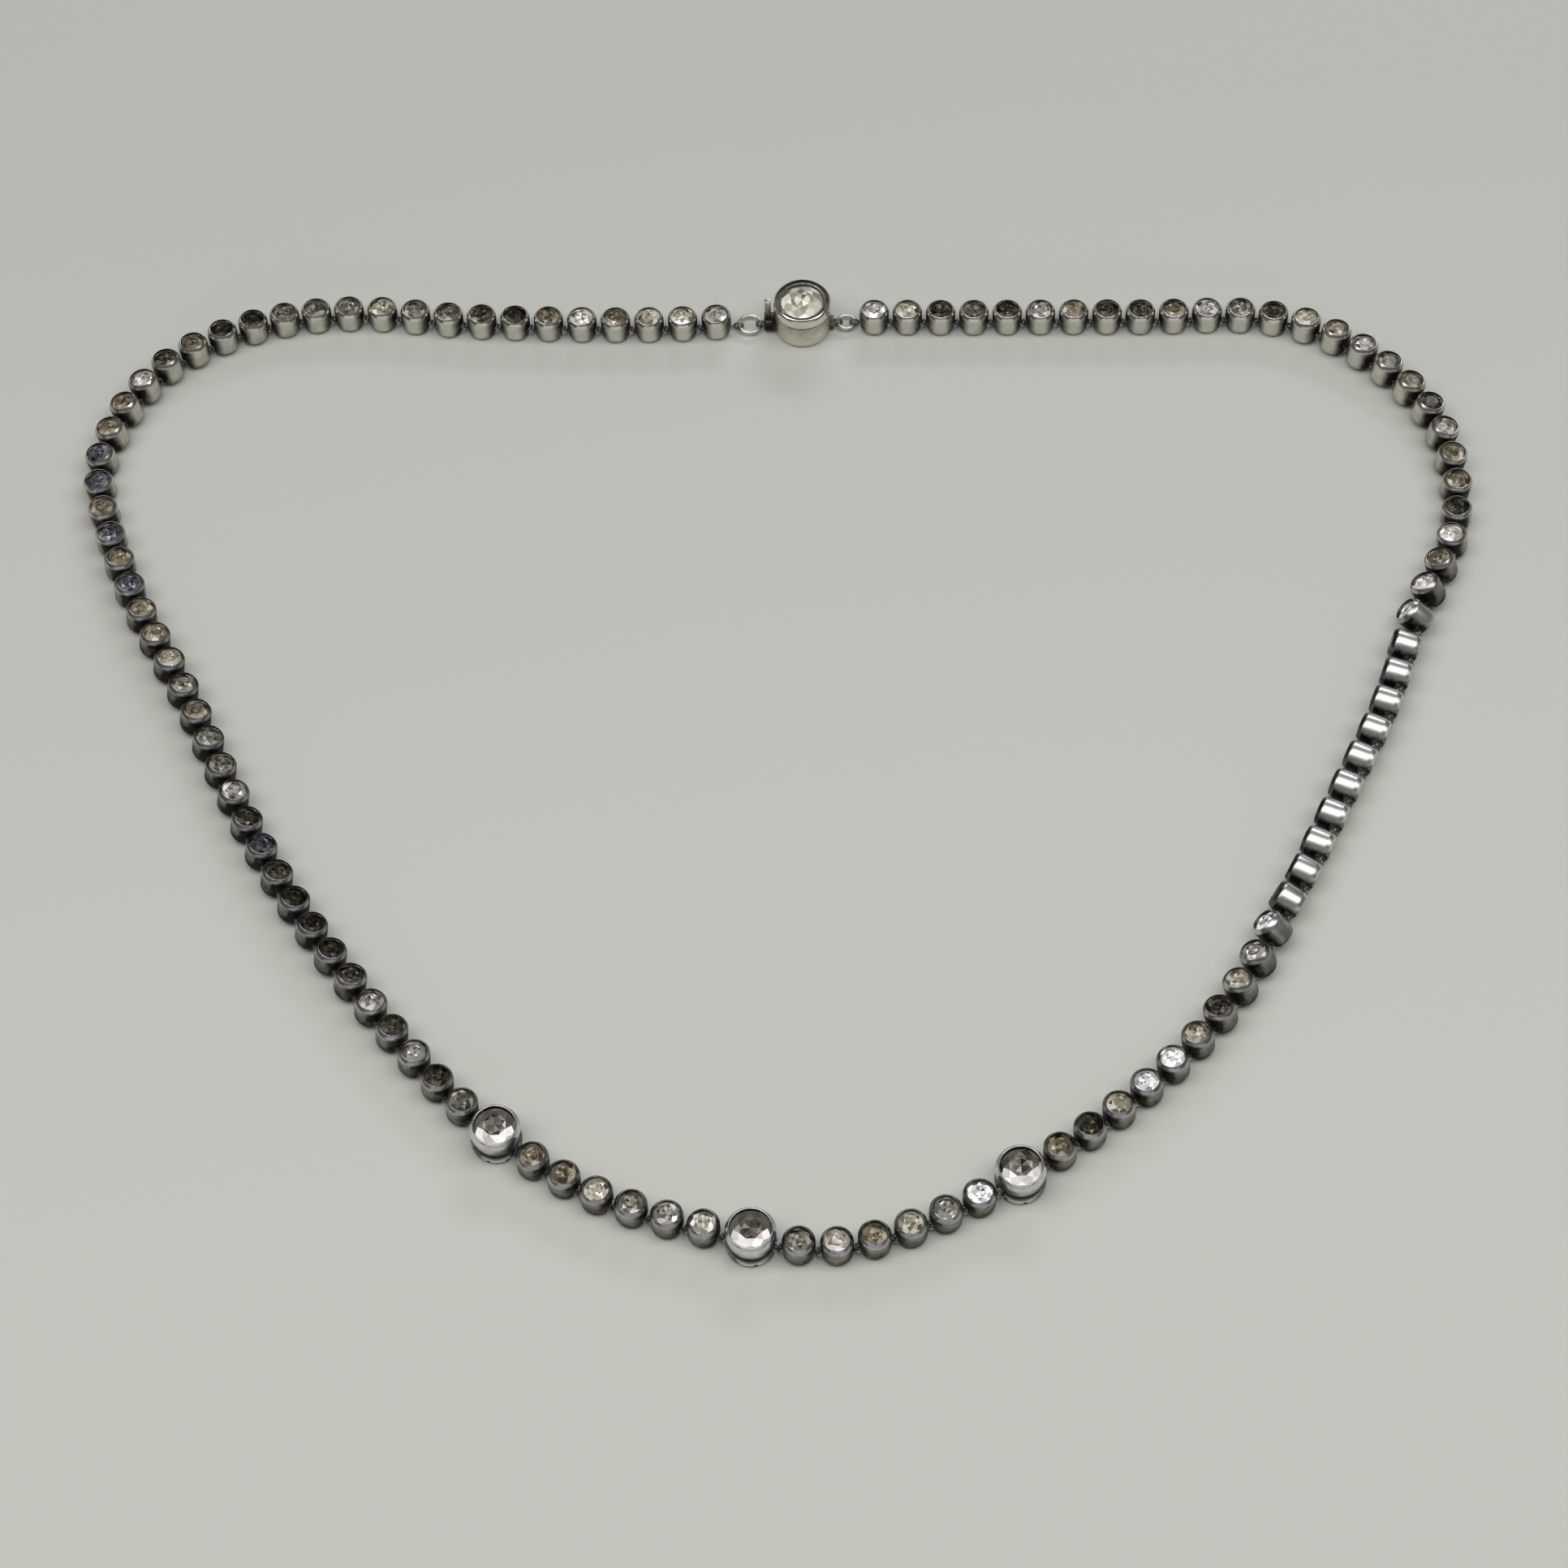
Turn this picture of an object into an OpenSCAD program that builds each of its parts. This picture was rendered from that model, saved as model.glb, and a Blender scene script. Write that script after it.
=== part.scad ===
// Riviere necklace: small round stones in closed cup settings, three larger ones at the front
// and a round box clasp at the back. It is fastened and lies in a loop on a flat surface.
// Millimetres. +Z is up from that surface, +Y points to the clasp and +X to the right.
// The settings are numbered clockwise, seen from above, from the clasp.

/* [Row] */
// Distance between the middles of two small settings
pitch = 3.8; // [3.7:0.05:4.2]
// Small settings on each side, from the clasp to the nearest big one
side_count = 47; // [46:1:48]
// Small settings between two big ones
front_count = 6; // [5:1:7]
// Gap between a small setting and a big one
big_gap = 0.55; // [0.4:0.05:0.8]

/* [Small settings] */
// Outer diameter
small_d = 3.36; // [3.2:0.02:3.5]
// Height
small_h = 3.1; // [2.8:0.1:3.4]
// Diameter of the opening in the rim
small_mouth_d = 2.62; // [2.4:0.02:2.64]
// Largest diameter of the stone
small_stone_d = 2.74; // [2.6:0.02:2.76]

/* [Big settings] */
// Outer diameter
big_d = 5.2; // [4.8:0.1:5.6]
// Height
big_h = 3.8; // [3.6:0.1:4.2]
// Diameter of the opening in the rim
big_mouth_d = 4.3; // [3.8:0.02:4.36]
// Largest diameter of the stone
big_stone_d = 4.44; // [4:0.02:4.5]
// Height of the pierced base ring
base_ring_h = 0.95; // [0.8:0.05:1.2]

/* [Clasp] */
// Outer diameter of the bezel
clasp_d = 6.6; // [6:0.1:7.2]
// Height
clasp_h = 4.8; // [4.4:0.1:5.2]
// Height of the lower drum, up to the seam under the bezel
drum_h = 3.3; // [3:0.1:3.6]
// Largest diameter of the stone
clasp_stone_d = 4.9; // [4.6:0.1:5]
// Distance along the row from the clasp's middle to the first setting
right_span = 8.2; // [8.2:0.1:8.6]
// Distance along the row from the last setting to the clasp's middle
left_span = 9.9; // [9.9:0.1:10.4]

/* [Links] */
// Wire diameter of the eyes that link the settings
eye_wire = 0.22; // [0.2:0.01:0.24]
// Height of the links over the base of each piece
link_z = 0.62; // [0.6:0.01:0.7]
// Wire diameter of the jump rings
ring_wire = 0.4; // [0.3:0.05:0.4]
// Outer diameter of the right jump ring
right_ring_d = 2.3; // [2.3:0.1:2.6]
// Outer diameter of the left jump ring
left_ring_d = 2.9; // [2.9:0.1:3.2]

/* [Hidden] */
SIDES = ["right", "middle", "left"];

SILVER = [0.60, 0.59, 0.55];
PASTE = [0.52, 0.51, 0.47];
CLEAR = [0.80, 0.80, 0.77];
$fn = 48;

// The loop as it lies: points from the clasp round by the right side and back to it.
X = 0;
Y = 1;
ROUTE = [
    [4, 57], [23, 56], [42.5, 55], [57.5, 54], [67, 48.5], [73.5, 40], [75.5, 31], [74.5, 22],
    [70, 12], [65.5, 0.5], [60, -10], [52.5, -23.5], [43.5, -36.5], [32, -47], [17.5, -56],
    [5, -60.5], [-5.5, -59.5], [-21, -54], [-34, -44], [-46, -29], [-56, -12.5], [-65, 8],
    [-71.5, 22], [-75.5, 36], [-74.5, 44.5], [-69, 53.5], [-59.5, 59], [-48, 60.5],
    [-33, 58.5], [-14, 57]];
ROUTE_STEPS = 24;

// How each setting lies: its number, its lean toward the inside of the loop in degrees,
// and the extra distance to the next one. Values between the rows are interpolated.
NUMBER = 0;
LEAN = 1;
PLAY = 2;
LIE = [
    [1, 0, 0], [13, 0, 0], [15, -10, -0.22], [20, -12, -0.22], [22, -4, 0], [24, 8, 0],
    [26, 32, 0], [27, 55, 0.05], [28, 82, 0.05], [30, 88, 0.13], [35, 88, 0.13],
    [37, 74, 0.13], [38, 48, 0.05], [39, 26, 0.05], [42, 8, 0.05], [48, 0, 0], [62, 0, 0],
    [68, 12, 0], [80, 12, 0], [84, 4, -0.05], [87, -6, -0.12], [90, -14, -0.12],
    [96, 0, -0.12], [98, 0, 0.05], [109, 0, 0.05]];

// Clearance between a stone and its setting, and between the tongue and its slot
fit_gap = 0.1;
// Depth of a stone's table under the top of its setting
table_drop = 0.02;
// Rounding of the lower edge of a setting
small_foot = 0.6;
big_foot = 0.45;
// Middle radius of an eye, and how far two linked eyes reach past each other
eye_r = 0.45;
hook = 0.42;
// Flat that the eyes are soldered to, inside the pocket in a small setting's wall
small_core = 1.25;
big_core = 2.28;
pocket_w = 1.4;
pocket_h = 1.3;
// The larger eyes that hold the jump rings
end_eye_wire = 0.28;
end_eye_r = 0.47;
end_gap = 0.11;

big_half = (small_d + big_d) / 2 + big_gap - pitch / 2;
first_big = side_count + 1;
middle_big = first_big + front_count + 1;
last_big = middle_big + front_count + 1;
total_count = last_big + side_count;
bigs = [first_big, middle_big, last_big];

right_ring_r = (right_ring_d - ring_wire) / 2;
left_ring_r = (left_ring_d - ring_wire) / 2;
// Distance between the middles of a ring's wire and the eye's wire inside it
ring_to_eye = ring_wire / 2 + end_eye_wire / 2 + end_gap;
// The lugs' outer faces, the rings' middles and the eyes' reaches, from the clasp's middle
drum_r = clasp_d / 2 - 0.1;
lug_x = drum_r + 0.4;
right_ring_x = lug_x + 0.4 + right_ring_r;
right_lug_reach = right_ring_x - right_ring_r + ring_to_eye;
right_end_reach = right_span - (right_ring_x + right_ring_r - ring_to_eye);
tongue_x = drum_r + 1.2;
left_ring_x = tongue_x + 0.45 + left_ring_r;
left_lug_reach = left_ring_x - left_ring_r + ring_to_eye;
left_end_reach = left_span - (left_ring_x + left_ring_r - ring_to_eye);

// Place of each piece along the row
lean_table = [for (row = LIE) [row[NUMBER], row[LEAN]]];
play_table = [for (row = LIE) [row[NUMBER], row[PLAY]]];
function is_big(n) = n == first_big || n == middle_big || n == last_big;
function lean(n) = lookup(n, lean_table);
function play(n) = lookup(n, play_table);
function half_span(n) = is_big(n) ? big_half : pitch / 2;
function step_after(n) = half_span(n) + half_span(n + 1) + play(n);
along = [for (n = 1, s = right_span; n <= total_count; s = s + step_after(n), n = n + 1) s];
row_length = along[total_count - 1] + left_span;
function place_along(n) = along[n - 1];

// The loop as a closed smooth curve through the route, sized to the length of the row
function route_at(i) = ROUTE[(i + len(ROUTE)) % len(ROUTE)];
function blend(a, b, c, d, t) = 0.5 * (2 * b + (c - a) * t + (2 * a - 5 * b + 4 * c - d) * t * t
    + (3 * b - a - 3 * c + d) * t * t * t);
curve = [
    for (i = [0:len(ROUTE) - 1], k = [0:ROUTE_STEPS - 1])
        blend(route_at(i - 1), route_at(i), route_at(i + 1), route_at(i + 2), k / ROUTE_STEPS),
    ROUTE[0]];
curve_run = [
    for (i = 0, s = 0; i < len(curve);
         s = s + norm(curve[min(i + 1, len(curve) - 1)] - curve[i]), i = i + 1) s];
route_scale = row_length / curve_run[len(curve) - 1];
track_x = [for (i = [0:len(curve) - 1]) [curve_run[i] * route_scale, curve[i][X] * route_scale]];
track_y = [for (i = [0:len(curve) - 1]) [curve_run[i] * route_scale, curve[i][Y] * route_scale]];
function spot(s) = let (w = (s + row_length) % row_length) [lookup(w, track_x), lookup(w, track_y)];
function heading(s) = let (d = spot(s + pitch / 4) - spot(s - pitch / 4)) atan2(d[Y], d[X]);

// Height of a leaning setting, so that its lower edge just touches the surface.
// upright is the cosine of its whole tilt.
function size_d(n) = is_big(n) ? big_d : small_d;
function size_h(n) = is_big(n) ? big_h : small_h;
function size_foot(n) = is_big(n) ? big_foot : small_foot;
function foot_edge(r, foot) = [[r - foot, 0], [r - 0.3 * foot, 0.3 * foot], [r, foot]];
function middle_height(n, upright) = max([
    for (p = foot_edge(size_d(n) / 2, size_foot(n)))
        p[X] * sqrt(1 - upright * upright) + (size_h(n) / 2 - p[Y]) * upright]);
function link_height(n, upright) = middle_height(n, upright) - (size_h(n) / 2 - link_z) * upright;
level = [for (n = [1:total_count]) link_height(n, cos(lean(n)))];
function slope(n) = n == 1 || n == total_count ? 0
    : atan((level[n] - level[n - 2]) / (place_along(n + 1) - place_along(n - 1)));
function height(n) = link_height(n, cos(lean(n)) * cos(slope(n)));

// Half width of a setting along x or y, from the direction of its axis
function axis_of(n) = let (
    a = heading(place_along(n)), b = lean(n), c = slope(n))
    [sin(a) * sin(b) - cos(a) * cos(b) * sin(c), -cos(a) * sin(b) - sin(a) * cos(b) * sin(c)];
function extent(n, side, k) = let (u = axis_of(n)[k])
    spot(place_along(n))[k] + (size_h(n) / 2 - link_z) * u
    + side * (size_d(n) / 2 * sqrt(1 - u * u) + size_h(n) / 2 * abs(u));
function box_middle(k) = (
    max([for (n = [1:total_count]) extent(n, 1, k)])
    + min([for (n = [1:total_count]) extent(n, -1, k)])) / 2;
middle = [box_middle(X), box_middle(Y)];

// Puts children, drawn over their base with +X along the row, in the place of setting n
module at_setting(n) {
    s = place_along(n);
    translate([spot(s)[X] - middle[X], spot(s)[Y] - middle[Y], height(n)])
        rotate([lean(n), -slope(n), heading(s)])
            translate([0, 0, -link_z])
                children();
}

module at_clasp() {
    translate([spot(0)[X] - middle[X], spot(0)[Y] - middle[Y], 0])
        rotate([0, 0, heading(0)])
            children();
}

// Round cut stone with its widest line at z = 0: a table, a crown of star, kite and girdle
// facets, and a pointed pavilion
module cut_stone(d, crown_h, pavilion_h) {
    table_d = 0.55 * d;
    mid_r = (d + table_d) / 4;
    mid_z = 0.55 * crown_h;
    points = concat(
        [for (k = [0:7]) [table_d / 2 * cos(45 * k), table_d / 2 * sin(45 * k), crown_h]],
        [for (k = [0:7]) [mid_r * cos(45 * k + 22.5), mid_r * sin(45 * k + 22.5), mid_z]],
        [for (k = [0:15]) [d / 2 * cos(22.5 * k), d / 2 * sin(22.5 * k), 0]],
        [[0, 0, -pavilion_h]]);
    table = 0;
    mid = 8;
    girdle = 16;
    culet = 32;
    faces = concat(
        [[for (k = [7:-1:0]) table + k]],
        [for (k = [0:7]) [table + k, table + (k + 1) % 8, mid + k]],
        [for (k = [0:7]) [table + k, mid + k, girdle + 2 * k]],
        [for (k = [0:7]) [table + (k + 1) % 8, girdle + (2 * k + 2) % 16, mid + k]],
        [for (k = [0:7]) [mid + k, girdle + 2 * k + 1, girdle + 2 * k]],
        [for (k = [0:7]) [mid + k, girdle + (2 * k + 2) % 16, girdle + 2 * k + 1]],
        [for (k = [0:15]) [girdle + k, girdle + (k + 1) % 16, culet]]);
    polyhedron(points, faces);
}

// Soldered wire ring in the xy plane, with the middle of its wire at x = reach
module eye(reach, r, wire) {
    translate([reach - r, 0, 0])
        rotate_extrude()
            translate([r, 0])
                circle(d = wire);
}

module upright_eye(reach) {
    translate([0, 0, link_z])
        rotate([90, 0, 0])
            eye(reach, eye_r, eye_wire);
}

module flat_eye(reach) {
    translate([0, 0, link_z])
        eye(reach, eye_r, eye_wire);
}

// Larger upright eye on a stem that starts at x = from, for a jump ring
module end_eye(from, reach) {
    translate([from, 0, link_z])
        rotate([0, 90, 0])
            cylinder(d = 1.2 * end_eye_wire, h = reach - 2 * end_eye_r - from);
    translate([0, 0, link_z])
        rotate([90, 0, 0])
            eye(reach, end_eye_r, end_eye_wire);
}

// Pockets in the wall at both ends of a setting, where the eyes start
module pockets(core, r) {
    for (side = [0, 1])
        mirror([side, 0, 0])
            translate([core, -pocket_w / 2, -1])
                cube([r, pocket_w, pocket_h + 1]);
}

// Reach of the eye toward the next setting, and of the one toward the setting before
function front_reach(n) = half_span(n) + (play(n) + hook) / 2;
function back_reach(n) = half_span(n) + (play(n - 1) + hook) / 2;

// Both eyes of setting n. The first and last settings have a longer eye for a jump ring.
module eyes(n, core) {
    if (n == total_count)
        end_eye(core - fit_gap, left_end_reach);
    else
        flat_eye(front_reach(n));
    mirror([1, 0, 0])
        if (n == 1)
            end_eye(core - fit_gap, right_end_reach);
        else
            upright_eye(back_reach(n));
}

// The seat under each stone is a cone that follows the pavilion
function seat_r(stone_d) = stone_d / 2 + fit_gap;
function seat_h(stone_d, pavilion_h) = pavilion_h * seat_r(stone_d) / (stone_d / 2);
function seat_z(girdle_z, pavilion_h) = girdle_z - pavilion_h - 1.3 * fit_gap;

small_r = small_d / 2;
small_crown_h = 0.4;
small_pavilion_h = 1.12;
small_girdle_z = small_h - small_crown_h - table_drop;

// Closed cup: rounded foot, plain wall, sloping rim, and a lip over the stone's widest line
module small_body() {
    rim_bevel = 0.32;
    rim_bevel_h = 0.45;
    lip_h = 0.24;
    under_lip_h = 0.34;
    r = seat_r(small_stone_d);
    z = seat_z(small_girdle_z, small_pavilion_h);
    rotate_extrude()
        polygon(concat(
            [[0, 0]], foot_edge(small_r, small_foot),
            [[small_r, small_h - rim_bevel_h], [small_r - rim_bevel, small_h],
             [small_mouth_d / 2, small_h], [small_mouth_d / 2, small_h - lip_h],
             [r, small_h - under_lip_h], [r, z + seat_h(small_stone_d, small_pavilion_h)],
             [0, z]]));
}

module small_setting(n) {
    color(SILVER) {
        difference() {
            small_body();
            pockets(small_core, small_r);
        }
        eyes(n, small_core);
    }
}

module small_stone() {
    color(PASTE)
        translate([0, 0, small_girdle_z])
            cut_stone(small_stone_d, small_crown_h, small_pavilion_h);
}

module right_settings() {
    for (n = [1:side_count])
        at_setting(n)
            small_setting(n);
}

module right_stones() {
    for (n = [1:side_count])
        at_setting(n)
            small_stone();
}

module left_settings() {
    for (n = [last_big + 1:total_count])
        at_setting(n)
            small_setting(n);
}

module left_stones() {
    for (n = [last_big + 1:total_count])
        at_setting(n)
            small_stone();
}

// Number in the row of the front setting k, which skips the middle big one
function front_number(k) = first_big + k + (k > front_count ? 1 : 0);

module front_setting(k) {
    at_setting(front_number(k))
        small_setting(front_number(k));
}

module front_stone(k) {
    at_setting(front_number(k))
        small_stone();
}

big_r = big_d / 2;
big_crown_h = 0.62;
big_pavilion_h = 1.55;
big_girdle_z = big_h - big_crown_h - table_drop;
window_count = 8;

// Tapering bezel over a waist and a hollow base ring, pierced all round
module big_body() {
    r = seat_r(big_stone_d);
    z = seat_z(big_girdle_z, big_pavilion_h);
    rim_bevel = 0.34;
    rim_bevel_h = 0.55;
    lip_h = 0.36;
    under_lip_h = 0.48;
    waist_r = 2.15;
    waist_top = base_ring_h + 0.25;
    cup_low_r = 2.3;
    cup_z = base_ring_h + 0.35;
    cup_top = big_h - 1.1;
    hollow_r = 1.85;
    hollow_h = 0.85;
    window_d = 0.5;
    difference() {
        rotate_extrude()
            polygon(concat(
                [[0, hollow_h], [hollow_r, hollow_h], [hollow_r, 0]], foot_edge(big_r, big_foot),
                [[big_r, base_ring_h], [waist_r, base_ring_h], [waist_r, waist_top],
                 [cup_low_r, cup_z], [big_r, cup_top], [big_r, big_h - rim_bevel_h],
                 [big_r - rim_bevel, big_h],
                 [big_mouth_d / 2, big_h], [big_mouth_d / 2, big_h - lip_h],
                 [r, big_h - under_lip_h], [r, z + seat_h(big_stone_d, big_pavilion_h)],
                 [0, z]]));
        for (k = [0:window_count - 1])
            rotate([0, 0, 360 / window_count * (k + 0.5)])
                translate([hollow_r - fit_gap, 0, base_ring_h / 2])
                    rotate([0, 90, 0])
                        cylinder(d = window_d, h = big_r);
    }
}

module big_setting(k) {
    at_setting(bigs[k])
        color(SILVER) {
            difference() {
                big_body();
                pockets(big_core, big_r);
            }
            eyes(bigs[k], big_core);
        }
}

module big_stone(k) {
    at_setting(bigs[k])
        color(CLEAR)
            translate([0, 0, big_girdle_z])
                cut_stone(big_stone_d, big_crown_h, big_pavilion_h);
}

clasp_crown_h = 0.55;
clasp_pavilion_h = 1.6;
clasp_girdle_z = clasp_h - clasp_crown_h - table_drop;
slot_w = 2.2;
slot_h = 1;
slot_z = 0.6;
slot_end = 1.2;
lug_w = 1.5;
right_lug_z = 0.2;
right_lug_h = 0.9;
left_lug_z = 0.15;
left_lug_h = 1.6;

// Drum with the bezel, a recess round the stone's own collar, and the slot for the tongue
module clasp_body() {
    r = seat_r(clasp_stone_d);
    z = seat_z(clasp_girdle_z, clasp_pavilion_h);
    base_bevel = 0.3;
    seam_d = 0.1;
    rim_bevel = 0.14;
    rim_bevel_h = 0.3;
    rim_w = 0.36;
    bezel_r = clasp_d / 2;
    collar_r = r + 0.1;
    mouth_r = clasp_stone_d / 2 - 0.04;
    recess_z = clasp_h - 0.65;
    collar_z = clasp_h - 0.24;
    rotate_extrude()
        polygon([
            [0, 0], [drum_r - base_bevel, 0], [drum_r, base_bevel], [drum_r, drum_h],
            [drum_r - seam_d, drum_h + 0.5 * seam_d], [drum_r - seam_d, drum_h + 1.5 * seam_d],
            [bezel_r, drum_h + 2.5 * seam_d], [bezel_r, clasp_h - rim_bevel_h],
            [bezel_r - rim_bevel, clasp_h], [bezel_r - rim_w, clasp_h],
            [bezel_r - rim_w, recess_z], [collar_r, recess_z], [collar_r, collar_z],
            [mouth_r, collar_z], [mouth_r, collar_z - 0.12], [r, collar_z - 0.2],
            [r, z + seat_h(clasp_stone_d, clasp_pavilion_h)], [0, z]]);
}

module clasp_box() {
    at_clasp()
        color(SILVER) {
            difference() {
                clasp_body();
                translate([-drum_r - 1, -slot_w / 2, slot_z])
                    cube([drum_r + 1 + slot_end, slot_w, slot_h]);
            }
            translate([drum_r - 0.4, -lug_w / 2, right_lug_z])
                cube([lug_x - drum_r + 0.4, lug_w, right_lug_h]);
            end_eye(lug_x - 2 * fit_gap, right_lug_reach);
        }
}

module clasp_stone() {
    at_clasp()
        color(CLEAR)
            translate([0, 0, clasp_girdle_z])
                cut_stone(clasp_stone_d, clasp_crown_h, clasp_pavilion_h);
}

// Blade in the slot, lug outside the drum, thumb tab on it and eye for the jump ring
module clasp_tongue() {
    tab_w = 0.6;
    tab_t = 0.7;
    tab_inset = 0.1;
    at_clasp()
        color(SILVER)
            mirror([1, 0, 0]) {
                translate([-slot_end + fit_gap, -slot_w / 2 + fit_gap, slot_z + fit_gap])
                    cube([
                        tongue_x + slot_end - fit_gap, slot_w - 2 * fit_gap,
                        slot_h - 2 * fit_gap]);
                translate([drum_r + fit_gap, -lug_w / 2, left_lug_z])
                    cube([tongue_x - drum_r - fit_gap, lug_w, left_lug_h]);
                translate([tongue_x - tab_inset - tab_t, -tab_w / 2, left_lug_z + left_lug_h - fit_gap])
                    cube([tab_t, tab_w, clasp_h - left_lug_z - left_lug_h + fit_gap]);
                end_eye(tongue_x - 2 * fit_gap, left_lug_reach);
            }
}

module jump_ring(x, r) {
    at_clasp()
        color(SILVER)
            translate([x, 0, link_z])
                rotate_extrude()
                    translate([r, 0])
                        circle(d = ring_wire);
}

module jump_ring_right() {
    jump_ring(right_ring_x, right_ring_r);
}

module jump_ring_left() {
    jump_ring(-left_ring_x, left_ring_r);
}

clasp_box();
clasp_stone();
clasp_tongue();
jump_ring_right();
jump_ring_left();
right_settings();
right_stones();
left_settings();
left_stones();
for (k = [0:2])
    big_setting(k);
for (k = [0:2])
    big_stone(k);
for (k = [1:2 * front_count])
    front_setting(k);
for (k = [1:2 * front_count])
    front_stone(k);
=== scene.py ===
"""Looks of a riviere necklace: round paste stones in closed silver cups, lying fastened in a loop.

Sizes inside the classes are in millimetres, as in the solids; meshes are made in metres in the
shared frame, where +Z is up from the surface, +Y points to the clasp and +X to the right.
"""
import bisect
import logging
import math
import random
from dataclasses import dataclass
from enum import Enum, IntEnum
from functools import cached_property, partial
from typing import Callable, Iterable, Sequence

import bmesh
import bpy
from mathutils import Matrix, Vector


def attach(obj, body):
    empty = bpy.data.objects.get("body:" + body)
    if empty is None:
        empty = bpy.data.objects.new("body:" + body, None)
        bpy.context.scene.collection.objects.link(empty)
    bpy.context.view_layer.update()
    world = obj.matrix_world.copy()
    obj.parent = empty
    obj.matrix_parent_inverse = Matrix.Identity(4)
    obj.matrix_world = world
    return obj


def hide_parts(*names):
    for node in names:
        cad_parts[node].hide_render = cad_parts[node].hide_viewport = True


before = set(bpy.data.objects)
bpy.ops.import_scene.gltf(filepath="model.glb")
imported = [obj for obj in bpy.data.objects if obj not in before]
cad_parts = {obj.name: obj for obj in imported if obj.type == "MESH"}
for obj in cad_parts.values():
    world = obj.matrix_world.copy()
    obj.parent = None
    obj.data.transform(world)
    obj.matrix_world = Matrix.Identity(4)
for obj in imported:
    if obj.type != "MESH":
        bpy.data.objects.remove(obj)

Pair = tuple[float, float]
Triple = tuple[float, float, float]
Colour = tuple[float, float, float, float]
WearAndShade = Callable[[Vector], Pair]
BMesh = bmesh.types.BMesh
Mesh = bpy.types.Mesh
Object = bpy.types.Object
Material = bpy.types.Material
Socket = bpy.types.NodeSocket

LOG = logging.getLogger("riviere")
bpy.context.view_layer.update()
MM = 0.001
UPRIGHT = Matrix.Rotation(math.pi / 2, 4, "X")
LEVEL = Matrix.Rotation(math.pi / 2, 4, "Y")
BEHIND = Matrix.Rotation(math.pi, 4, "Z")
SEAT_GAP = 0.1
SINK = 0.02


# Meshes


def smooth(low: float, high: float, value: float) -> float:
    """Smooth step from 0 at low to 1 at high, which may be less than low."""
    t = min(1.0, max(0.0, (value - low) / (high - low)))
    return t * t * (3 - 2 * t)


def move(x: float, y: float, z: float) -> Matrix:
    """Matrix of a move."""
    return Matrix.Translation((x, y, z))


def foot_line(r: float, foot: float) -> list[Pair]:
    """Corners of a setting's rounded foot, of wall radius r, from the base up."""
    return [(r - foot, 0.0), (r - 0.3 * foot, 0.3 * foot), (r, foot)]


def eased(points: Sequence[Pair], rounds: dict[int, float], cuts: int) -> list[Pair]:
    """Rounds chosen corners of an outline.

    Args:
        points: Corners of the outline as (radius, height).
        rounds: Distance from each rounded corner to the start of its curve, by corner number.
        cuts: Points on each curve besides its ends.

    Returns:
        The outline with its corners rounded.
    """
    made = []
    for i, p in enumerate(points):
        reach = rounds.get(i, 0.0)
        if not reach:
            made.append(tuple(p))
            continue
        corner = Vector(p)
        a = corner + (Vector(points[i - 1]) - corner).normalized() * reach
        b = corner + (Vector(points[i + 1]) - corner).normalized() * reach
        for k in range(cuts + 2):
            t = k / (cuts + 1)
            q = a * (1 - t) ** 2 + corner * (2 * t * (1 - t)) + b * t * t
            made.append((q.x, q.y))
    return made


def spun(bm: BMesh, steps: int) -> BMesh:
    """Turns all that a bmesh holds round the z axis.

    Args:
        bm: Bmesh of an outline in the xz plane, which becomes a closed shell.
        steps: Divisions round the axis.

    Returns:
        The same bmesh.
    """
    bmesh.ops.spin(bm, geom=bm.verts[:] + bm.edges[:], cent=(0, 0, 0), axis=(0, 0, 1),
                   dvec=(0, 0, 0), angle=math.tau, steps=steps, use_merge=True)
    bmesh.ops.remove_doubles(bm, verts=bm.verts, dist=1e-4)
    bmesh.ops.recalc_face_normals(bm, faces=bm.faces)
    return bm


def turned(outline: Sequence[Pair], steps: int, cutters: Iterable[BMesh]) -> Mesh:
    """Turns an outline that starts and ends on the axis into a shell and cuts shapes out of it.

    Args:
        outline: Points as (radius, height).
        steps: Divisions round the axis.
        cutters: The shapes to cut away; they are freed.

    Returns:
        The mesh of what is left.
    """
    bm = bmesh.new()
    verts = [bm.verts.new((r, 0.0, z)) for r, z in outline]
    for pair in zip(verts, verts[1:]):
        bm.edges.new(pair)
    return kept(pierced(spun(bm, steps), cutters), "turned")


def wire_ring(radius: float, wire: float, sides: int = 8, steps: int = 18) -> BMesh:
    """A ring of round wire in the xy plane.

    Args:
        radius: Radius to the middle of the wire.
        wire: Wire diameter.
        sides: Sides of the wire.
        steps: Divisions round the ring.

    Returns:
        A new bmesh.
    """
    bm = bmesh.new()
    bmesh.ops.create_circle(bm, cap_ends=False, segments=sides, radius=wire / 2,
                            matrix=move(radius, 0, 0) @ UPRIGHT)
    return spun(bm, steps)


def rod(d: float, length: float, sides: int, place: Matrix) -> BMesh:
    """A round bar along the z axis of its place.

    Args:
        d: Diameter.
        length: Length.
        sides: Sides round it.
        place: Where its middle goes.

    Returns:
        A new bmesh.
    """
    bm = bmesh.new()
    bmesh.ops.create_cone(bm, cap_ends=True, segments=sides, radius1=d / 2, radius2=d / 2,
                          depth=length, matrix=place)
    return bm


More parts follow.
